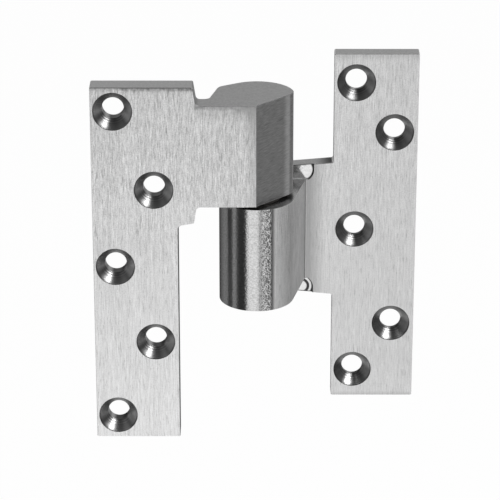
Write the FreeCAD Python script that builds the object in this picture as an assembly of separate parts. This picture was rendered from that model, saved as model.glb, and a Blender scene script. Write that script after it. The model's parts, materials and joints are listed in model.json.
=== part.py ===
import FreeCAD, Part
import math
import os

# Offset pivot hinge for the middle of a heavy door, lying open at 180 degrees.
# All sizes in millimetres, +Z up along the pivot axis, the screw faces look along -Y.
# The frame's origin is the middle of the jamb leaf's back face.

V = FreeCAD.Vector

# Leaves
LEAF_HEIGHT = 127.0
LEAF_WIDTH = 28.6
DOOR_LEAF_T = 7.5
JAMB_LEAF_T = 5.5
CORNER_R = 0.5
EDGE_BREAK = 0.2

# Where the leaves stand to the pivot axis
KNUCKLE_R = 12.7
CLOSED_GAP = 3.2
LEAF_REACH = 26.2

# Countersunk screw holes, three in one column and two in the other
SCREW_HOLE_D = 7.3
SINK_D = 13.2
SINK_ANGLE_DEG = 82.0
SINK_LIP = 0.6
COLUMN_STEP = 13.2
DOOR_COLUMN_INSET = 7.4
DOOR_END_INSET = 8.3
JAMB_COLUMN_INSET = 7.5
JAMB_END_INSET = 10.2
JAMB_SIDE_INSET = 28.0

# Shoulder and arm that carry the upper knuckle
ARM_REACH = 20.0
KNUCKLE_HEIGHT = 35.7
NOTCH_DEPTH = 6.4
SHOULDER_DROP = 5.7
DRAFT_DEG = 9.0
SHOULDER_FILLET_R = 1.4
HEEL_OUT = 0.2
HEEL_BACK = 7.2
HEEL_ROUND_R = 4.0
HEEL_ROOT_INSET = 4.05
HEEL_ROOT_R = 2.0
FLAT_SETBACK = 0.9
FLAT_BLEND_R = 5.0

# Lower barrel, with the web and tab that join it to the jamb leaf
BARREL_HEIGHT = 36.7
WEB_FOOT_X = 16.7
WEB_FOOT_R = 0.8
TAB_HEIGHT = 49.0
TAB_TAPER_DEG = 5.0
TAB_OVERHANG = 3.0
TAB_ROOT_R = 0.7
SCOOP_DEPTH = 0.8
SCOOP_LENGTH = 2.9
SCOOP_TUCK = 0.9
SCOOP_ROOT_R = 4.2
SCOOP_RIM_R = 1.0
SCOOP_FLOOR_R = 0.6

# Pivot pin and its bearing bush
PIN_D = 11.1
PIN_IN_BARREL = 30.0
PIN_IN_KNUCKLE = 28.0
PIN_LEAD = 1.0
RUNNING_CLEARANCE = 0.05
BUSH_WALL = 1.5
BUSH_LENGTH = 26.0
BUSH_LEAD = 0.4
FLANGE_D = 16.5
FLANGE_T = 0.8
END_FLOAT = 0.15
PIN_HEADROOM = 3.0

# Heights that follow, measured from the middle of the jamb leaf
BARREL_TOP = BARREL_HEIGHT / 2
BUSH_FOOT = BARREL_TOP + END_FLOAT
KNUCKLE_FOOT = BUSH_FOOT + FLANGE_T
KNUCKLE_TOP = KNUCKLE_FOOT + KNUCKLE_HEIGHT
DOOR_LEAF_TOP = KNUCKLE_TOP + NOTCH_DEPTH
DOOR_LEAF_MIDDLE = DOOR_LEAF_TOP - LEAF_HEIGHT / 2
SHOULDER_FOOT = KNUCKLE_FOOT - SHOULDER_DROP

# Depths that follow, measured from the pivot axis
DOOR_FACE_Y = -KNUCKLE_R
DOOR_BACK_Y = DOOR_FACE_Y + DOOR_LEAF_T
JAMB_FACE_Y = KNUCKLE_R + CLOSED_GAP
JAMB_BACK_Y = JAMB_FACE_Y + JAMB_LEAF_T
BUSH_BORE_D = PIN_D + 2 * RUNNING_CLEARANCE
BUSH_D = BUSH_BORE_D + 2 * BUSH_WALL
KNUCKLE_BORE_DEPTH = PIN_IN_KNUCKLE + PIN_HEADROOM

# The frame's origin, seen from the pivot axis
FRAME_ORIGIN = V(LEAF_REACH + LEAF_WIDTH / 2, JAMB_BACK_Y, 0)

# How far cutters overshoot, and the distances that count as none
BEYOND = 5.0
TOUCHING = 1e-6
ON_PLANE = 1e-4


def corner_path(before, corner, after):
    """Start, middle and end of the arc that rounds one corner of a polygon."""
    x, y, radius = corner
    if radius == 0:
        return (x, y), None, (x, y)
    a = V(before[0] - x, before[1] - y, 0).normalize()
    b = V(after[0] - x, after[1] - y, 0).normalize()
    half = a.getAngle(b) / 2
    inward = (a + b).normalize()
    tip = V(x, y, 0)
    start, end = (tip + side * (radius / math.tan(half)) for side in (a, b))
    middle = tip + inward * (radius / math.sin(half) - radius)
    return (start.x, start.y), (middle.x, middle.y), (end.x, end.y)


def rounded_face(corners, place):
    """Face of a polygon with corners (u, v, radius), each point put in space by place."""
    around = zip(corners[-1:] + corners[:-1], corners, corners[1:] + corners[:1])
    paths = [corner_path(*three) for three in around]
    edges = []
    for (start, middle, end), following in zip(paths, paths[1:] + paths[:1]):
        if middle:
            edges.append(Part.Arc(place(*start), place(*middle), place(*end)).toShape())
        step = place(*following[0]) - place(*end)
        if step.Length > TOUCHING:
            edges.append(Part.makeLine(place(*end), place(*following[0])))
    return Part.Face(Part.Wire(edges))


def plan_prism(corners, z_low, z_high):
    """Prism on a plan outline in X and Y."""
    face = rounded_face(corners, lambda x, y: V(x, y, z_low))
    return face.extrude(V(0, 0, z_high - z_low))


def plate(corners, y_front, y_back):
    """Flat plate on a front outline in X and Z."""
    face = rounded_face(corners, lambda x, z: V(x, y_front, z))
    return face.extrude(V(0, y_back - y_front, 0))


def upright_cylinder(diameter, z_low, z_high):
    return Part.makeCylinder(diameter / 2, z_high - z_low, V(0, 0, z_low))


def countersunk_hole(x, z, face_y, thickness):
    """Cutter for one screw hole that opens on the front face."""
    sink_r, hole_r = SINK_D / 2, SCREW_HOLE_D / 2
    depth = (sink_r - hole_r) / math.tan(math.radians(SINK_ANGLE_DEG / 2))
    back = V(0, 1, 0)
    lip = Part.makeCylinder(sink_r, BEYOND + SINK_LIP, V(x, face_y - BEYOND, z), back)
    cone = Part.makeCone(sink_r, hole_r, depth, V(x, face_y + SINK_LIP, z), back)
    through = Part.makeCylinder(hole_r, thickness + BEYOND, V(x, face_y, z), back)
    return lip.fuse([cone, through])


def screw_places(first_column_x, leaf_middle, end_z, side_z):
    """Three holes in the first column and two in the next one."""
    first = [(first_column_x, leaf_middle + z) for z in (end_z, 0, -end_z)]
    second = [(first_column_x + COLUMN_STEP, leaf_middle + z) for z in (side_z, -side_z)]
    return first + second


def drill(leaf, places, face_y, thickness):
    return leaf.cut([countersunk_hole(x, z, face_y, thickness) for x, z in places])


def edges_on(shape, axis, height):
    """Edges that lie whole in the plane where the named coordinate has this value."""
    low, high = axis + "Min", axis + "Max"
    return [
        edge for edge in shape.Edges
        if abs(getattr(edge.BoundBox, low) - height) < ON_PLANE
        and abs(getattr(edge.BoundBox, high) - height) < ON_PLANE
    ]


def one_solid(shape):
    """The single clean solid that a chain of fuses and cuts should have left."""
    solids = shape.removeSplitter().Solids
    if len(solids) != 1:
        raise ValueError(f"expected one solid and found {len(solids)}")
    return solids[0]


def door_plate():
    """Leaf with its wider shoulder and the arm, in the plane of the door's edge."""
    left = -LEAF_REACH - LEAF_WIDTH
    foot = DOOR_LEAF_TOP - LEAF_HEIGHT
    slope = math.tan(math.radians(DRAFT_DEG))
    shoulder_rise = slope * (LEAF_REACH - ARM_REACH)
    top_x = -ARM_REACH - slope * NOTCH_DEPTH
    low_x = -ARM_REACH - slope * SHOULDER_DROP
    return plate(
        [
            (left, foot, CORNER_R),
            (-LEAF_REACH, foot, CORNER_R),
            (-LEAF_REACH, SHOULDER_FOOT - shoulder_rise, SHOULDER_FILLET_R),
            (low_x, SHOULDER_FOOT, CORNER_R),
            (-ARM_REACH, KNUCKLE_FOOT, SHOULDER_FILLET_R),
            (0, KNUCKLE_FOOT, 0),
            (0, KNUCKLE_TOP, 0),
            (-ARM_REACH, KNUCKLE_TOP, SHOULDER_FILLET_R),
            (top_x, DOOR_LEAF_TOP, CORNER_R),
            (left, DOOR_LEAF_TOP, CORNER_R),
        ],
        DOOR_FACE_Y,
        DOOR_BACK_Y,
    )


def tangent_point(x, y):
    """Point of the knuckle's round, clockwise of (x, y), where a line from there touches it."""
    angle = math.atan2(y, x) - math.acos(KNUCKLE_R / math.hypot(x, y))
    return KNUCKLE_R * math.cos(angle), KNUCKLE_R * math.sin(angle)


def upper_knuckle():
    """Block round the bearing, with the arm's heel behind and the flat in front."""
    heel_corner = (-KNUCKLE_R - HEEL_OUT, HEEL_BACK)
    heel_root = (-ARM_REACH + HEEL_ROOT_INSET, DOOR_BACK_Y)
    heel = plan_prism(
        [
            (-LEAF_REACH, DOOR_FACE_Y, 0),
            (-FLAT_SETBACK, DOOR_FACE_Y, 0),
            (0, DOOR_FACE_Y + FLAT_SETBACK, 0),
            (0, 0, 0),
            (*tangent_point(*heel_corner), 0),
            (*heel_corner, HEEL_ROUND_R),
            (*heel_root, HEEL_ROOT_R),
            (-LEAF_REACH, DOOR_BACK_Y, 0),
        ],
        KNUCKLE_FOOT,
        KNUCKLE_TOP,
    )
    round_part = upright_cylinder(2 * KNUCKLE_R, KNUCKLE_FOOT, KNUCKLE_TOP)
    in_front_of_flat = plan_prism(
        [
            (-FLAT_SETBACK, -KNUCKLE_R, 0),
            (KNUCKLE_R, -KNUCKLE_R, 0),
            (KNUCKLE_R, FLAT_SETBACK, 0),
        ],
        KNUCKLE_FOOT,
        KNUCKLE_TOP,
    )
    round_part = round_part.cut(in_front_of_flat)
    flat_x = KNUCKLE_R - FLAT_SETBACK
    flat_end_x = (flat_x + math.sqrt(2 * KNUCKLE_R**2 - flat_x**2)) / 2
    flat_end = edges_on(round_part, "X", flat_end_x)
    return round_part.makeFillet(FLAT_BLEND_R, flat_end).fuse(heel)


def door_leaf():
    """Leaf for the door's edge, one casting with the arm and the upper knuckle."""
    body = one_solid(door_plate().fuse(upper_knuckle()))
    rims = edges_on(body, "Y", DOOR_FACE_Y) + edges_on(body, "Y", DOOR_BACK_Y)
    body = body.makeChamfer(EDGE_BREAK, rims)
    bore = upright_cylinder(BUSH_D, KNUCKLE_FOOT, KNUCKLE_FOOT + KNUCKLE_BORE_DEPTH)
    end_z = LEAF_HEIGHT / 2 - DOOR_END_INSET
    first_column_x = -LEAF_REACH - LEAF_WIDTH + DOOR_COLUMN_INSET
    holes = screw_places(first_column_x, DOOR_LEAF_MIDDLE, end_z, end_z / 2)
    return one_solid(drill(body.cut(bore), holes, DOOR_FACE_Y, DOOR_LEAF_T))


def jamb_plate():
    """Leaf with the tapered tab that reaches behind the barrel."""
    right = LEAF_REACH + LEAF_WIDTH
    half_leaf, half_tab = LEAF_HEIGHT / 2, TAB_HEIGHT / 2
    taper = math.tan(math.radians(TAB_TAPER_DEG)) * (LEAF_REACH + TAB_OVERHANG)
    half_end = half_tab - taper
    return plate(
        [
            (LEAF_REACH, half_leaf, CORNER_R),
            (LEAF_REACH, half_tab, TAB_ROOT_R),
            (-TAB_OVERHANG, half_end, TAB_ROOT_R),
            (-TAB_OVERHANG, -half_end, TAB_ROOT_R),
            (LEAF_REACH, -half_tab, TAB_ROOT_R),
            (LEAF_REACH, -half_leaf, CORNER_R),
            (right, -half_leaf, CORNER_R),
            (right, half_leaf, CORNER_R),
        ],
        JAMB_FACE_Y,
        JAMB_BACK_Y,
    )


def barrel_and_web():
    """Round barrel for the pin and the web that ties it to the tab."""
    web = plan_prism(
        [
            (0, 0, 0),
            (*tangent_point(WEB_FOOT_X, JAMB_FACE_Y), 0),
            (WEB_FOOT_X, JAMB_FACE_Y, WEB_FOOT_R),
            (LEAF_REACH, JAMB_FACE_Y, 0),
            (LEAF_REACH, JAMB_BACK_Y, 0),
            (-TAB_OVERHANG, JAMB_BACK_Y, 0),
            (-TAB_OVERHANG, 0, 0),
        ],
        -BARREL_TOP,
        BARREL_TOP,
    )
    return upright_cylinder(2 * KNUCKLE_R, -BARREL_TOP, BARREL_TOP).fuse(web)


def scoop(side):
    """Shallow milled relief in the tab, above the web for side 1 and below for -1."""
    end_x = WEB_FOOT_X + SCOOP_LENGTH
    inner, outer = BARREL_TOP - SCOOP_TUCK, TAB_HEIGHT / 2
    root_r = min(SCOOP_ROOT_R, outer - inner - SCOOP_RIM_R)
    relief = plate(
        [
            (-TAB_OVERHANG - BEYOND, side * inner, 0),
            (end_x, side * inner, root_r),
            (end_x, side * outer, SCOOP_RIM_R),
            (-TAB_OVERHANG - BEYOND, side * outer, 0),
        ],
        JAMB_FACE_Y - BEYOND,
        JAMB_FACE_Y + SCOOP_DEPTH,
    )
    return relief.makeFillet(SCOOP_FLOOR_R, edges_on(relief, "Y", JAMB_FACE_Y + SCOOP_DEPTH))


def jamb_leaf():
    """Leaf for the frame, one casting with the tab, the web and the lower barrel."""
    body = jamb_plate()
    body = body.makeChamfer(EDGE_BREAK, edges_on(body, "Y", JAMB_FACE_Y))
    body = body.cut([scoop(1), scoop(-1)]).fuse(barrel_and_web())
    bore = upright_cylinder(PIN_D, BARREL_TOP - PIN_IN_BARREL, BARREL_TOP)
    holes = screw_places(
        LEAF_REACH + JAMB_COLUMN_INSET,
        0,
        LEAF_HEIGHT / 2 - JAMB_END_INSET,
        LEAF_HEIGHT / 2 - JAMB_SIDE_INSET,
    )
    return one_solid(drill(body.cut(bore), holes, JAMB_FACE_Y, JAMB_LEAF_T))


def pivot_pin():
    """Hardened pin, pressed in the barrel, with a lead at each end."""
    low, high = BARREL_TOP - PIN_IN_BARREL, KNUCKLE_FOOT + PIN_IN_KNUCKLE
    pin = upright_cylinder(PIN_D, low, high)
    return pin.makeChamfer(PIN_LEAD, edges_on(pin, "Z", low) + edges_on(pin, "Z", high))


def bearing_bush():
    """Flanged bronze bush, pressed in the knuckle, whose flange keeps the end float."""
    sleeve = upright_cylinder(BUSH_D, BUSH_FOOT, KNUCKLE_FOOT + BUSH_LENGTH)
    flange = upright_cylinder(FLANGE_D, BUSH_FOOT, KNUCKLE_FOOT)
    bore = upright_cylinder(BUSH_BORE_D, BUSH_FOOT, KNUCKLE_FOOT + BUSH_LENGTH)
    wide, narrow = BUSH_BORE_D / 2 + BUSH_LEAD, BUSH_BORE_D / 2
    lead = Part.makeCone(wide, narrow, BUSH_LEAD, V(0, 0, BUSH_FOOT))
    return one_solid(sleeve.fuse(flange).cut([bore, lead]))


def save(name, shape):
    placed = shape.copy()
    placed.translate(-FRAME_ORIGIN)
    placed.exportStep(f"parts/{name}.step")


def main():
    os.makedirs("parts", exist_ok=True)
    save("door_leaf", door_leaf())
    save("jamb_leaf", jamb_leaf())
    save("pivot_pin", pivot_pin())
    save("bearing_bush", bearing_bush())


main()
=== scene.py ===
import json
import math

import bpy
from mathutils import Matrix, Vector

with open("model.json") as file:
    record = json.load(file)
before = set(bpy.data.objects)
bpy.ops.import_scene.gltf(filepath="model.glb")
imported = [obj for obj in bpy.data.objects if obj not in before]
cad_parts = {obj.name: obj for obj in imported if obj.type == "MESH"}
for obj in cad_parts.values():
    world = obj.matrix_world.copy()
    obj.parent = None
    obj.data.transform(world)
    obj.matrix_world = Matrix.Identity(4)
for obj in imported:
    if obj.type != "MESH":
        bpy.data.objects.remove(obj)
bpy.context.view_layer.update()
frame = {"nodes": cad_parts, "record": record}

# Lengths are in metres in the row frame, and noises are counted per metre.
RECORD = frame["record"]
PIVOT = Vector(RECORD["behaviour"]["joints"][0]["pos_m"])

# Camera: where the photograph was taken from
CAMERA_AZIMUTH = -0.13
CAMERA_ELEVATION = 22.7
CAMERA_DISTANCE = 0.9
CAMERA_TARGET = PIVOT + Vector((-0.00227, 0, -0.00122))
LENS_IN_FRAME_WIDTHS = 2649.0 / 500
SENSOR_MM = 36.0
CLIP_NEAR, CLIP_FAR = 0.01, 50

# Floor, tent and world
FLOOR_Z = -0.26
FLOOR_SIZE = 6.0
FLOOR_GLOW = 0.97
TENT_RADIUS = 0.34
TENT_TOP = 0.04
TENT_GAP = 0.002
TENT_SIDES = 96
WORLD_LEVEL = 0.42

# Lights: place from the pivot, width of the disk, power in watts
LIGHTS = {
    "key": ((0.45, -0.5, 0.85), 0.6, 6.0),
    "fill": ((-0.7, -0.6, 0.6), 0.8, 2.0),
}

# Brightness of the tent by bearing, in degrees from the viewer's side towards +X,
# as the polished metal mirrors it
TENT_BANDS = [
    (-180, 0.03),
    (-150, 0.07),
    (-135, 0.15),
    (-113, 0.245),
    (-103, 0.21),
    (-92, 0.25),
    (-86, 0.27),
    (-78, 0.25),
    (-71, 0.30),
    (-67, 0.27),
    (-62, 0.085),
    (-54, 0.04),
    (-39, 0.04),
    (-33, 0.08),
    (-26, 1.0),
    (5, 1.0),
    (8, 0.45),
    (13, 0.50),
    (20, 0.85),
    (32, 0.85),
    (46, 0.50),
    (52, 0.12),
    (58, 0.12),
    (67, 0.32),
    (104, 0.30),
    (114, 0.60),
    (128, 0.50),
    (138, 0.32),
    (150, 0.38),
    (165, 0.58),
    (180, 0.02),
]


def box_of(node):
    """Low and high corner of a CAD node, in the coordinates that its material reads."""
    xs, ys, zs = zip(*frame["nodes"][node].bound_box)
    return Vector((min(xs), min(ys), min(zs))), Vector((max(xs), max(ys), max(zs)))


DOOR_LOW, DOOR_HIGH = box_of("door_leaf")
JAMB_LOW, JAMB_HIGH = box_of("jamb_leaf")
BUSH_FOOT = box_of("bearing_bush")[0].z

# Sizes of the hinge that its boxes don't show
LEAF_WIDTH = 0.0286
SINK_R = 0.0066
NOTCH_DEPTH = 0.0064
ARM_REACH = 0.0200
FLAT_SETBACK = 0.0009
FLAT_LENGTH = 0.0117
END_FLOAT = 0.00015
CLOSED_GAP = 0.0032
WEB_FOOT = 0.0167
TAB_HEIGHT = 0.049
TAB_TAPER_DEGREES = 5
RELIEF_LENGTH = 0.0029
RELIEF_R = 0.0042
RELIEF_TUCK = 0.0009

# Places on the door leaf that its finish follows
DOOR_LEFT = DOOR_LOW.x
DOOR_RIGHT = DOOR_LEFT + LEAF_WIDTH
DOOR_TOP = DOOR_HIGH.z
ARM_TOP = DOOR_TOP - NOTCH_DEPTH
ARM_START = PIVOT.x - ARM_REACH
FLAT_START = PIVOT.x - FLAT_SETBACK
FLAT_END = FLAT_START + FLAT_LENGTH

# Places on the jamb leaf. The door leaf's face is level with the barrel's front.
JAMB_TOP = JAMB_HIGH.z
JAMB_FOOT = JAMB_LOW.z
JAMB_LEFT = JAMB_HIGH.x - LEAF_WIDTH
BARREL_R = PIVOT.y - DOOR_LOW.y
BARREL_TOP = BUSH_FOOT - END_FLOAT
WEB_FOOT_X = PIVOT.x + WEB_FOOT
TAB_FACE_Y = PIVOT.y + BARREL_R + CLOSED_GAP
TAB_HALF = TAB_HEIGHT / 2
TAB_SLOPE = math.tan(math.radians(TAB_TAPER_DEGREES))
TAB_EDGE_AT_AXIS = TAB_HALF - TAB_SLOPE * (JAMB_LEFT - PIVOT.x)
RELIEF_END = WEB_FOOT_X + RELIEF_LENGTH
RELIEF_CENTRE_X = RELIEF_END - RELIEF_R
RELIEF_CENTRE_Z = BARREL_TOP - RELIEF_TUCK + RELIEF_R

# The block's painted shadow ends on the upper relief along a leaning line close to the round's centre
SHADE_LEAN = 0.9
SHADE_X = RELIEF_CENTRE_X - 0.0007
SHADE_Z = RELIEF_CENTRE_Z - 0.00025
SHADE_EDGE = SHADE_X - SHADE_LEAN * SHADE_Z

# How far a face has turned to count: start and end of the soft step on its normal
FACING_VIEWER = (-0.9, -0.98)
FACING_UP = (0.93, 0.98)

# Brushed plates: marks per metre of height at top and foot, base level at mid height,
# its rise per metre of height, and the contrast of the marks
DOOR_BRUSH = {"marks_top": 320, "marks_foot": 190, "level": 0.76, "rise": -1.3, "spread": 1.35}
JAMB_BRUSH = {"marks_top": 230, "marks_foot": 190, "level": 0.785, "rise": 0.35, "spread": 0.95}

# Countersinks: the painted highlight wedge's degrees off the foot, and the painted shade levels round the
# cone
DOOR_SINKS = {"highlight_wedge": 34, "right": 0.6, "left": 1.0, "upper": 0.21}
JAMB_SINKS = {"highlight_wedge": 15, "right": 0.6, "left": 0.3, "upper": 0.05}
SINK_RINGS = 3300.0

# Turned pieces
PIN_FINISH = {"colour": (0.6, 0.6, 0.62), "roughness": 0.2, "rings": 3000}
# The bush is set near black as painted shade in the gap under the block
BUSH_SHADE_FINISH = {"colour": (0.088, 0.083, 0.078), "roughness": 0.45, "rings": 2500}

# Fine relief of the finishes: strength and depth
LEAF_RELIEF = 0.2, 0.00006
TURNED_RELIEF = 0.15, 0.00005

WHITE = (1, 1, 1, 1)


def nodes_of(owner):
    """Empty node tree of a material or a world."""
    owner.use_nodes = True
    owner.node_tree.nodes.clear()
    return owner.node_tree


class Graph:
    """Short way to write a node tree. Values may be numbers or sockets."""

    def __init__(self, tree):
        self.tree = tree

    def add(self, kind, values=None, **settings):
        node = self.tree.nodes.new(kind)
        for key, value in settings.items():
            setattr(node, key, value)
        for key, value in (values or {}).items():
            self.put(node.inputs[key], value)
        return node

    def put(self, socket, value):
        if isinstance(value, bpy.types.NodeSocket):
            self.tree.links.new(value, socket)
        else:
            socket.default_value = value

    def math(self, operation, *values, clamp=False):
        node = self.add("ShaderNodeMath", operation=operation, use_clamp=clamp)
        for socket, value in zip(node.inputs, values):
            self.put(socket, value)
        return node.outputs[0]

    def plus(self, a, b):
        return self.math("ADD", a, b)

    def minus(self, a, b):
        return self.math("SUBTRACT", a, b)

    def times(self, first, *others):
        product = first
        for other in others:
            product = self.math("MULTIPLY", product, other)
        return product

    def either(self, a, b):
        return self.math("MAXIMUM", a, b)

    def outside(self, mask):
        return self.minus(1.0, mask)

    def size(self, value):
        return self.math("ABSOLUTE", value)

    def length(self, a, b):
        return self.math("SQRT", self.plus(self.times(a, a), self.times(b, b)))

    def turn(self, across, along):
        """Angle in degrees from along towards across."""
        return self.math("DEGREES", self.math("ARCTAN2", across, along))

    def step(self, value, low, high, out_low=0.0, out_high=1.0):
        """Smooth step, out_low where value is low and out_high where it is high."""
        node = self.add(
            "ShaderNodeMapRange",
            {"Value": value, "From Min": low, "From Max": high, "To Min": out_low, "To Max": out_high},
            interpolation_type="SMOOTHSTEP",
        )
        return node.outputs[0]

    def between(self, value, rise, fall):
        """1 between two soft edges, each given as its outer and its inner side."""
        return self.times(self.step(value, *rise), self.step(value, *fall))

    def near(self, value, place, inner, outer):
        """1 within inner of place, and 0 beyond outer."""
        return self.step(self.size(self.minus(value, place)), outer, inner)

    def mix(self, factor, a, b):
        return self.add("ShaderNodeMix", {"Factor": factor, "A": a, "B": b}, data_type="FLOAT").outputs[0]

    def about(self, middle, noise, spread):
        """A level that varies round its middle with a noise."""
        return self.plus(middle, self.times(self.minus(noise, 0.5), spread))

    def noise(self, place, per_metre, detail=2.0, roughness=0.6):
        scaled = self.add("ShaderNodeMapping", {"Vector": place, "Scale": per_metre}).outputs[0]
        values = {"Vector": scaled, "Scale": 1.0, "Detail": detail, "Roughness": roughness}
        return self.add("ShaderNodeTexNoise", values).outputs["Fac"]

    def lean(self, place, degrees):
        """Turn a place in the x-z plane."""
        turn = (0, math.radians(degrees), 0)
        return self.add("ShaderNodeMapping", {"Vector": place, "Rotation": turn}).outputs[0]

    def split(self, vector):
        return tuple(self.add("ShaderNodeSeparateXYZ", {"Vector": vector}).outputs)

    def grey(self, value):
        return self.add("ShaderNodeCombineColor", {"Red": value, "Green": value, "Blue": value}).outputs[0]

    def metal(self, colour, roughness, height, strength, depth):
        """Bare metal with fine relief, as the tree's output."""
        relief = {"Strength": strength, "Distance": depth, "Height": height}
        normal = self.add("ShaderNodeBump", relief).outputs[0]
        look = {"Base Color": colour, "Metallic": 1.0, "Roughness": roughness, "Normal": normal}
        shader = self.add("ShaderNodeBsdfPrincipled", look)
        self.add("ShaderNodeOutputMaterial", {"Surface": shader.outputs[0]})


class Surface:
    """One leaf's material: a first finish with others laid over it where masks say."""

    def __init__(self, name):
        self.material = bpy.data.materials.new(name)
        self.g = g = Graph(nodes_of(self.material))
        coordinates = g.add("ShaderNodeTexCoord")
        self.place = coordinates.outputs["Object"]
        self.x, self.y, self.z = g.split(self.place)
        self.facing_x, self.facing_y, self.facing_z = g.split(coordinates.outputs["Normal"])
        self.height_off_middle = g.size(self.z)
        self.front = g.step(self.facing_y, *FACING_VIEWER)

    def start(self, base, rough, height):
        """The finish that lies under all others."""
        self.base, self.rough, self.height = base, rough, height

    def lay(self, mask, base=None, rough=None, height=None, strength=1.0):
        """Lay what is given over the finish where the mask says."""
        if strength != 1.0:
            mask = self.g.times(mask, strength)
        if base is not None:
            self.base = self.g.mix(mask, self.base, base)
        if rough is not None:
            self.rough = self.g.mix(mask, self.rough, rough)
        if height is not None:
            self.height = self.g.mix(mask, self.height, height)

    def finished(self):
        self.g.metal(self.g.grey(self.base), self.rough, self.height, *LEAF_RELIEF)
        return self.material


def brush(s, marks_top, marks_foot, level, rise, spread):
    """Satin plate: short thin upright brush marks over a faint cloud, and ground ends set darker as
    painted shade.
    """
    g = s.g
    low = g.step(s.z, 0.03, -0.03)
    top_marks = g.noise(s.place, (3500, 3500, marks_top))
    foot_marks = g.noise(s.place, (3500, 3500, marks_foot))
    wide = g.noise(s.place, (1600, 1600, 70))
    grain = g.noise(s.place, (2400, 2400, 2400), detail=1.0, roughness=0.5)
    nick = g.noise(s.place, (3300, 3300, marks_top), detail=1.0, roughness=0.5)
    cloud = g.noise(s.place, (110, 110, 80), detail=3.0, roughness=0.55)
    lines = g.mix(0.25, g.mix(low, top_marks, foot_marks), wide)

    base = g.plus(level, g.times(s.z, rise))
    base = g.about(base, lines, g.mix(low, 0.9 * spread, 0.55 * spread))
    base = g.about(base, grain, g.mix(low, 0.36 * spread, 0.2 * spread))
    base = g.about(base, cloud, 0.08)
    base = g.minus(base, g.step(nick, 0.58, 0.75, 0.0, 0.2))
    base = g.math("MINIMUM", g.either(base, 0.15), 1.0)
    s.start(base, rough=g.about(0.38, lines, 0.15), height=lines)

    # The end faces have their own ground grain, and are set darker than the front as painted shade
    ends = g.step(g.size(s.facing_z), *FACING_UP)
    end_grain = g.noise(s.place, (1500, 1500, 1500), detail=3.0)
    end_level_with_shade = g.step(s.z, ARM_TOP + 0.0002, ARM_TOP + 0.0004, 0.55, 0.61)
    s.lay(
        ends,
        base=g.about(end_level_with_shade, end_grain, 0.35),
        rough=g.about(0.42, end_grain, 0.1),
        height=end_grain,
    )


def hole_places(leaf):
    """Axis places (x, z) of a leaf's screw holes, from the record's bolt patterns."""
    places = []
    for mount in RECORD["mounts"]:
        if mount["kind"] != "bolt_pattern" or mount["name"].split("_")[0] != leaf:
            continue
        count, spacing = mount["dims"]["count"], mount["dims"]["spacing_y_mm"] / 1000
        x, _, middle = mount["pos_m"]
        places += [(x, middle + (i - (count - 1) / 2) * spacing) for i in range(count)]
    return places


def turn_countersinks(s, leaf, highlight_wedge, right, left, upper):
    """Turned cones with fine rings, dark with painted shade and a bright painted highlight wedge. Gives
    the cones' mask.
    """
    g = s.g
    radius = None
    for x, z in hole_places(leaf):
        distance = g.length(g.minus(s.x, x), g.minus(s.z, z))
        radius = distance if radius is None else g.math("MINIMUM", radius, distance)
    in_sink = g.times(
        g.step(radius, SINK_R + 0.0003, SINK_R + 0.00005),
        g.step(g.size(s.facing_y), 0.93, 0.85),
    )
    rings = g.add(
        "ShaderNodeTexNoise",
        {"W": g.times(radius, SINK_RINGS), "Scale": 1.0, "Detail": 1.0},
        noise_dimensions="1D",
    ).outputs["Fac"]

    # Painted shade levels round the cone, by the turn from its foot towards the viewer's left
    turn = g.turn(s.facing_x, s.facing_z)
    side = g.step(turn, 50, 85, right, left)
    foot = g.near(turn, 10, 50, 85)
    foot_shade_level = g.step(turn, highlight_wedge - 15, highlight_wedge + 15, 0.09, 0.16)
    in_upper = g.step(s.facing_z, -0.2, -0.7)
    painted_cone_shade = g.mix(in_upper, g.mix(foot, side, foot_shade_level), upper)
    # Painted highlight: a bright wedge at its turn off the foot
    in_highlight_wedge = g.near(turn, highlight_wedge, 3, 24)
    base = g.mix(in_highlight_wedge, g.about(painted_cone_shade, rings, 0.08), g.about(0.57, rings, 1.1))
    s.lay(in_sink, base=base, rough=0.3, height=g.about(0.0, rings, 0.3))

    # Painted shade: the lip round the cone's rim is set dark
    lip_shade = g.times(in_sink, g.step(radius, SINK_R - 0.0005, SINK_R - 0.0002))
    s.lay(lip_shade, base=0.12, strength=0.7)
    return in_sink


def darken_edge_breaks(s, in_sink, base):
    """The fine edge breaks along upper edges are painted dark, a painted reflection of the dark ceiling.
    """
    g = s.g
    slanted = g.between(s.facing_z, (0.25, 0.5), (0.97, 0.9))
    to_viewer = g.step(s.facing_y, -0.2, -0.4)
    s.lay(g.times(slanted, to_viewer, g.outside(in_sink)), base=base, rough=0.6)


def pale_upright_edges(s, elsewhere):
    """Upright edge breaks are painted pale as painted light and made rough, so they don't draw dark lines.
    """
    g = s.g
    sideways = g.step(g.size(s.facing_x), 0.3, 0.5)
    to_viewer = g.step(s.facing_y, -0.3, -0.5)
    s.lay(g.times(sideways, to_viewer, g.outside(elsewhere)), base=0.95, rough=0.8)


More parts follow.
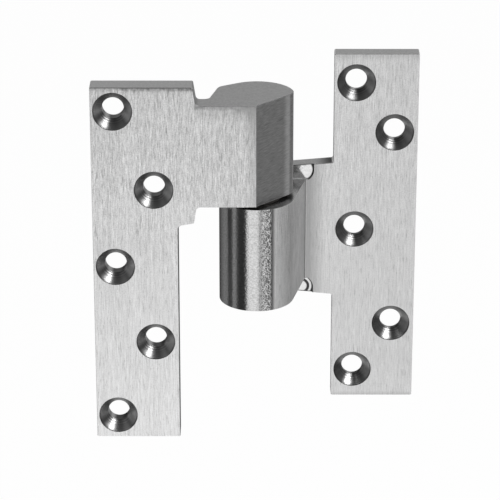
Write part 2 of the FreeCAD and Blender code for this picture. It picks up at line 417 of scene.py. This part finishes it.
def shade_upper_fronts(s):
    """Painted shade in dark mottled bands on the front, under the upper edges and towards the block's
    flat.
    """
    g = s.g
    mottle = g.noise(s.place, (900, 900, 700), detail=3.0)
    on_arm = g.step(s.x, ARM_START - 0.0012, ARM_START)
    arm_front = g.times(s.front, on_arm)

    # Depth below the nearer upper edge; off the arm, the arm's edge counts as a metre away
    off_arm = g.step(s.x, ARM_START - 0.0005, ARM_START - 0.0012)
    under_leaf = g.size(g.minus(s.z, DOOR_TOP))
    under_arm = g.plus(g.size(g.minus(s.z, ARM_TOP)), off_arm)
    depth = g.math("MINIMUM", under_leaf, under_arm)

    # Painted shade: a broad band, and a narrow irregular line at the leaf's edge, both weaker at the left
    fade = g.mix(on_arm, 0.0026, 0.0060)
    shade_band = g.times(g.outside(g.math("DIVIDE", depth, fade, clamp=True)), s.front)
    from_left = g.step(s.x, DOOR_LEFT + 0.006, DOOR_LEFT + 0.0125, 0.5, 1.0)
    s.lay(g.times(shade_band, from_left), base=g.about(0.42, mottle, 0.9), strength=0.55)
    leaf_shade_line = g.step(g.about(depth, mottle, 0.0016), 0.0015, 0.0002)
    leaf_shade_line = g.times(leaf_shade_line, s.front, g.outside(on_arm), from_left)
    s.lay(leaf_shade_line, base=g.about(0.2, mottle, 0.5), strength=0.8)

    # The arm's painted shade line deepens towards the flat, and more painted shade darkens its front there
    to_flat = g.minus(FLAT_START, s.x)
    reach = g.step(to_flat, 0.012, 0.001, 0.0018, 0.0032)
    arm_shade_line = g.times(arm_front, g.step(g.about(depth, mottle, 0.0014), reach, 0.0002))
    s.lay(arm_shade_line, base=g.about(0.32, mottle, 0.5), strength=0.7)
    s.lay(g.times(arm_front, g.step(to_flat, 0.0032, 0.0)), base=0.36, strength=0.36)
    to_corner = g.plus(to_flat, g.times(g.minus(ARM_TOP, s.z), 0.6))
    s.lay(g.times(arm_front, g.step(to_corner, 0.0115, 0.0)), base=0.36, strength=0.5)


def grind_block(s):
    """The block's flat and round: scratches nearly level, and a painted highlight where they meet."""
    g = s.g
    scratches = g.noise(g.lean(s.place, 8), (450, 450, 3600))
    ground = g.times(
        g.step(s.facing_x, 0.5, 0.6),
        g.step(s.x, PIVOT.x - 0.002, PIVOT.x),
    )
    s.lay(ground, base=g.about(0.41, scratches, 0.5), rough=0.3, height=scratches)
    # Painted highlight where the flat bends into the round
    bend_highlight = g.between(s.x, (FLAT_END - 0.0022, FLAT_END - 0.0004), (FLAT_END + 0.0004, FLAT_END))
    s.lay(g.times(ground, bend_highlight), base=g.about(0.68, scratches, 0.55))
    return ground


def door_leaf_material():
    s = Surface("door_leaf_satin")
    g = s.g
    brush(s, **DOOR_BRUSH)
    shade_upper_fronts(s)
    ground = grind_block(s)
    in_sink = turn_countersinks(s, "door", **DOOR_SINKS)
    pale_upright_edges(s, g.either(in_sink, ground))
    # Painted reflection on the edge breaks, darker near the leaf's top
    darken_edge_breaks(s, in_sink, g.step(s.z, DOOR_TOP - 0.002, DOOR_TOP - 0.001, 0.24, 0.12))

    # Painted shade on the leaf's right side, under the arm and above it
    lower_side_shade = g.times(g.step(s.facing_x, 0.4, 0.6), g.near(s.x, DOOR_RIGHT, 0.0004, 0.0007))
    s.lay(g.times(lower_side_shade, g.outside(in_sink)), base=0.16, rough=0.5)
    upper_side_shade = g.times(
        g.step(s.facing_x, 0.2, 0.4),
        g.step(s.z, ARM_TOP - 0.0005, ARM_TOP + 0.0005),
    )
    s.lay(g.times(upper_side_shade, g.outside(in_sink)), base=0.38, rough=0.5)
    return s.finished()


def brush_web_side(s, bearing):
    """Side of the barrel and web: brushed like the leaf, with broad soft painted light and shade."""
    g = s.g
    beside = g.times(
        g.step(s.facing_x, 0.35, 0.55),
        g.step(s.y, TAB_FACE_Y, TAB_FACE_Y - 0.0003),
    )
    cloud = g.noise(s.place, (160, 160, 70), detail=3.0)
    # Painted shade far round the barrel, painted highlight nearer the front and towards the web's foot
    round_light_and_shade = g.step(bearing, 68, 28, -0.14, 0.12)
    foot_highlight = g.step(s.x, WEB_FOOT_X - 0.0042, WEB_FOOT_X, 0.0, 0.18)
    painted_light_and_shade = g.plus(round_light_and_shade, foot_highlight)
    s.lay(beside, base=g.about(g.plus(s.base, painted_light_and_shade), cloud, 0.3), rough=0.45)
    return beside


def polish_barrel(s, bearing, off_axis):
    """Polished front of the barrel, with a rippled strip beside its bright band."""
    g = s.g
    on_barrel = g.between(
        off_axis,
        (BARREL_R - 0.0004, BARREL_R - 0.0001),
        (BARREL_R + 0.0004, BARREL_R + 0.0001),
    )
    polished = g.times(on_barrel, g.step(bearing, 28, 22))
    grain = g.noise(s.place, (1600, 1600, 2200))
    ripple = g.noise(s.place, (1300, 1300, 1000))
    rippled = g.between(bearing, (4, 7), (24, 20))
    curls = g.step(g.near(ripple, 0.5, 0.01, 0.07), 0.0, 1.0, 0.24, 0.85)
    s.lay(
        polished,
        base=g.mix(rippled, g.about(0.62, grain, 0.6), curls),
        rough=0.08,
        height=g.mix(rippled, g.about(0.0, grain, 4.0), g.about(0.0, ripple, 30.0)),
    )
    # Painted shade: a dark line where the polish meets the brushed side
    seam_shade = g.between(bearing, (20.5, 23.5), (31, 24.5))
    s.lay(g.times(on_barrel, seam_shade), base=0.12, strength=0.75)
    strip_start = g.near(bearing, 6.5, 1, 3.4)
    s.lay(g.times(on_barrel, strip_start), base=0.3, strength=0.5)


def shade_web_foot(s):
    """Painted shade at the web's foot: a thin dark line in the crease, and a darker strip beside it on the
    tab.
    """
    g = s.g
    at_face = g.step(s.y, TAB_FACE_Y - 0.0012, TAB_FACE_Y - 0.0004)
    tab_front = g.times(
        at_face,
        s.front,
        g.step(s.height_off_middle, TAB_HALF, TAB_HALF - 0.001),
    )
    # Painted shade on the tab beside the web's foot, with a faint darker line in it
    foot_shade_strip = g.step(s.x, WEB_FOOT_X + 0.0085, WEB_FOOT_X)
    s.lay(g.times(tab_front, foot_shade_strip), base=0.35, strength=0.75)
    shade_line_in_strip = g.near(s.x, WEB_FOOT_X + 0.0016, 0.0001, 0.0004)
    s.lay(g.times(tab_front, shade_line_in_strip), base=0.3, strength=0.15)
    # Painted shade in the crease at the web's foot
    foot = g.near(s.x, WEB_FOOT_X, 0.0001, 0.0003)
    s.lay(g.times(foot, at_face, g.step(s.facing_y, 0.0, -0.2)), base=0.5)


def mill_reliefs(s):
    """Milled reliefs above and below the web: bright and smooth, with the block's painted shadow on the
    upper one and dark painted shade on the walls.
    """
    g = s.g
    in_relief = g.times(
        g.step(s.y, TAB_FACE_Y + 0.0001, TAB_FACE_Y + 0.0002),
        g.step(s.height_off_middle, BARREL_TOP, BARREL_TOP + 0.0001),
        g.step(s.x, RELIEF_END + 0.0001, RELIEF_END),
        g.step(s.facing_y, -0.1, -0.2),
    )
    upper = g.step(s.z, -0.001, 0.001)
    speckle = g.noise(s.place, (1100, 1100, 1100))
    # Painted shadow of the block on the upper relief
    across_shade = g.minus(s.x, g.times(s.height_off_middle, SHADE_LEAN))
    across_shade = g.about(across_shade, speckle, 0.004)
    shaded = g.times(g.step(across_shade, SHADE_EDGE + 0.0006, SHADE_EDGE - 0.0018), upper)
    s.lay(
        in_relief,
        base=g.about(g.mix(shaded, 0.82, 0.28), speckle, 0.3),
        rough=0.12,
        height=0.5,
    )

    # Painted shade: a dark crescent in the lower relief, a dark foot of the round walls, a dark outer rim
    past_centre = g.minus(s.x, RELIEF_CENTRE_X)
    in_round = g.times(in_relief, g.step(past_centre, 0.0, 0.0008))
    from_lower_centre = g.length(past_centre, g.plus(s.z, RELIEF_CENTRE_Z))
    crescent_shade = g.between(from_lower_centre, (0.0018, 0.0022), (0.0031, 0.0028))
    s.lay(g.times(in_round, crescent_shade, g.outside(upper)), base=0.05)
    from_centre = g.length(past_centre, g.minus(s.height_off_middle, RELIEF_CENTRE_Z))
    wall_foot_shade = g.step(from_centre, RELIEF_R - 0.0008, RELIEF_R - 0.0003)
    s.lay(g.times(in_round, wall_foot_shade), base=0.05)
    tab_edge = g.plus(TAB_EDGE_AT_AXIS, g.times(g.minus(s.x, PIVOT.x), TAB_SLOPE))
    rim_shade = g.step(g.minus(tab_edge, s.height_off_middle), 0.0004, 0.00015)
    s.lay(g.times(in_relief, rim_shade), base=0.08)


def shade_upper_faces(s, off_axis):
    """The web's and barrel's tops stand in the block's painted shade with a painted lighter patch, and
    painted shade darkens the tab's edge.
    """
    g = s.g
    upward = g.step(s.facing_z, *FACING_UP)
    web_top = g.times(upward, g.step(s.y, TAB_FACE_Y + 0.0004, TAB_FACE_Y))
    cloud = g.noise(s.place, (420, 420, 420))
    # Painted shade of the block on the web's and barrel's tops
    clear_of_block = g.step(off_axis, BARREL_R - 0.0008, BARREL_R + 0.0004)
    s.lay(web_top, base=g.about(g.mix(clear_of_block, 0.26, 0.35), cloud, 0.3), rough=0.25)
    # Painted light: a lighter patch on the web's top clear of the block
    lit_patch_near_block = g.step(off_axis, BARREL_R + 0.0045, BARREL_R + 0.0013)
    s.lay(g.times(web_top, clear_of_block, lit_patch_near_block), base=g.about(0.66, cloud, 0.4), rough=0.25)
    # Painted shade on the tab's top edge towards its end
    on_tab = g.step(s.height_off_middle, TAB_HALF + 0.0055, TAB_HALF + 0.0025)
    tab_top = g.times(upward, on_tab)
    s.lay(g.times(tab_top, g.step(s.x, RELIEF_END, RELIEF_END + 0.0062)), base=0.07)


def jamb_leaf_material():
    s = Surface("jamb_leaf_satin")
    g = s.g
    brush(s, **JAMB_BRUSH)
    # Painted shade: darker bands on the front near the top and the foot
    ends = g.either(
        g.step(s.z, JAMB_TOP - 0.003, JAMB_TOP),
        g.step(s.z, JAMB_FOOT + 0.002, JAMB_FOOT),
    )
    s.lay(g.times(ends, s.front), base=0.4, strength=0.35)
    in_sink = turn_countersinks(s, "jamb", **JAMB_SINKS)

    dx, dy = g.minus(s.x, PIVOT.x), g.minus(s.y, PIVOT.y)
    bearing = g.turn(dx, g.times(dy, -1.0))
    off_axis = g.length(dx, dy)
    beside = brush_web_side(s, bearing)
    pale_upright_edges(s, g.either(in_sink, beside))
    polish_barrel(s, bearing, off_axis)
    shade_web_foot(s)
    mill_reliefs(s)

    # The leaf's side towards the web is painted pale, as painted light
    lit_left_side = g.times(g.step(s.facing_x, -0.4, -0.6), g.near(s.x, JAMB_LEFT, 0.0004, 0.0007))
    s.lay(g.times(lit_left_side, g.outside(in_sink)), base=1.0)
    shade_upper_faces(s, off_axis)
    darken_edge_breaks(s, in_sink, 0.26)
    return s.finished()


def turned_metal(name, colour, roughness, rings):
    """Turned metal with fine rings along its length."""
    material = bpy.data.materials.new(name)
    g = Graph(nodes_of(material))
    place = g.add("ShaderNodeTexCoord").outputs["Object"]
    turned = g.noise(place, (40, 40, rings), detail=3.0)
    cloud = g.noise(place, (250, 250, 250), detail=3.0)
    tint = g.about(1.0, turned, 0.3)
    tinted = g.add("ShaderNodeVectorMath", {0: colour, "Scale": tint}, operation="SCALE").outputs[0]
    g.metal(tinted, g.about(roughness, cloud, 0.2), turned, *TURNED_RELIEF)
    return material


def dress(node, material):
    for slot in frame["nodes"][node].material_slots:
        slot.material = material


def glow(g, colour):
    return g.add("ShaderNodeEmission", {"Color": colour, "Strength": 1.0}).outputs[0]


def floor_material():
    """White floor that keeps the shadow and shows as white to the camera and in the metal."""
    material = bpy.data.materials.new("floor_white")
    g = Graph(nodes_of(material))
    path = g.add("ShaderNodeLightPath").outputs
    mirrored = g.either(path["Is Glossy Ray"], path["Is Transmission Ray"])
    seen = g.either(path["Is Camera Ray"], mirrored)
    mix = g.add("ShaderNodeMixShader")
    g.put(mix.inputs[0], g.times(seen, FLOOR_GLOW))
    g.put(mix.inputs[1], g.add("ShaderNodeBsdfDiffuse", {"Color": WHITE}).outputs[0])
    g.put(mix.inputs[2], glow(g, WHITE))
    g.add("ShaderNodeOutputMaterial", {"Surface": mix.outputs[0]})
    return material


def tent_material():
    material = bpy.data.materials.new("tent_cloth")
    g = Graph(nodes_of(material))
    x, y, _ = g.split(g.add("ShaderNodeTexCoord").outputs["Object"])
    bearing = g.turn(g.minus(x, PIVOT.x), g.minus(PIVOT.y, y))
    ramp = g.add("ShaderNodeValToRGB", {"Fac": g.plus(g.math("DIVIDE", bearing, 360), 0.5)})
    stops = ramp.color_ramp.elements
    while len(stops) < len(TENT_BANDS):
        stops.new(0.5)
    for stop, (angle, level) in zip(stops, TENT_BANDS):
        stop.position = (angle + 180) / 360
        stop.color = (level, level, level, 1)
    g.add("ShaderNodeOutputMaterial", {"Surface": glow(g, ramp.outputs["Color"])})
    return material


def make_object(name, data):
    thing = bpy.data.objects.new(name, data)
    bpy.context.collection.objects.link(thing)
    return thing


def make_sheet(name, points, faces, material):
    mesh = bpy.data.meshes.new(name)
    mesh.from_pydata(points, [], faces)
    mesh.materials.append(material)
    return make_object(name, mesh)


def make_floor():
    half = FLOOR_SIZE / 2
    corners = [(-half, -half), (half, -half), (half, half), (-half, half)]
    points = [(x, y, FLOOR_Z) for x, y in corners]
    make_sheet("floor", points, [(0, 1, 2, 3)], floor_material())


def make_tent():
    """Open cylinder of cloth that only the metal's reflections see."""
    turns = [2 * math.pi * i / TENT_SIDES for i in range(TENT_SIDES)]
    points = [
        (PIVOT.x + TENT_RADIUS * math.sin(a), PIVOT.y - TENT_RADIUS * math.cos(a), z)
        for z in (FLOOR_Z + TENT_GAP, TENT_TOP)
        for a in turns
    ]
    following = [(i + 1) % TENT_SIDES for i in range(TENT_SIDES)]
    faces = [(i, j, TENT_SIDES + j, TENT_SIDES + i) for i, j in enumerate(following)]
    tent = make_sheet("tent", points, faces, tent_material())
    tent.visible_camera = False
    tent.visible_diffuse = False
    tent.visible_shadow = False
    tent.visible_transmission = False


def make_lights():
    for name, (offset, size, power) in LIGHTS.items():
        data = bpy.data.lights.new(name, "AREA")
        data.shape = "DISK"
        data.size = size
        data.energy = power
        light = make_object(name, data)
        light.location = PIVOT + Vector(offset)
        light.rotation_euler = (-Vector(offset)).to_track_quat("-Z", "Y").to_euler()


def make_world():
    world = bpy.data.worlds.new("studio")
    bpy.context.scene.world = world
    g = Graph(nodes_of(world))
    seen = g.add("ShaderNodeLightPath").outputs["Is Camera Ray"]
    strength = g.mix(seen, WORLD_LEVEL, 1.0)
    sky = g.add("ShaderNodeBackground", {"Color": WHITE, "Strength": strength})
    g.add("ShaderNodeOutputWorld", {"Surface": sky.outputs[0]})


def make_camera():
    azimuth, elevation = math.radians(CAMERA_AZIMUTH), math.radians(CAMERA_ELEVATION)
    back = Vector(
        (
            -math.sin(azimuth) * math.cos(elevation),
            -math.cos(azimuth) * math.cos(elevation),
            math.sin(elevation),
        )
    )
    data = bpy.data.cameras.new("camera")
    data.sensor_width = SENSOR_MM
    data.lens = SENSOR_MM * LENS_IN_FRAME_WIDTHS
    data.clip_start, data.clip_end = CLIP_NEAR, CLIP_FAR
    camera = make_object("camera", data)
    camera.location = CAMERA_TARGET + back * CAMERA_DISTANCE
    camera.rotation_euler = (-back).to_track_quat("-Z", "Y").to_euler()
    bpy.context.scene.camera = camera


bpy.context.scene.view_settings.view_transform = "Standard"
make_camera()
make_world()
make_floor()
make_tent()
make_lights()

dress("door_leaf", door_leaf_material())
dress("jamb_leaf", jamb_leaf_material())
dress("pivot_pin", turned_metal("pin_ground_steel", **PIN_FINISH))
dress("bearing_bush", turned_metal("bush_dark_as_shade", **BUSH_SHADE_FINISH))
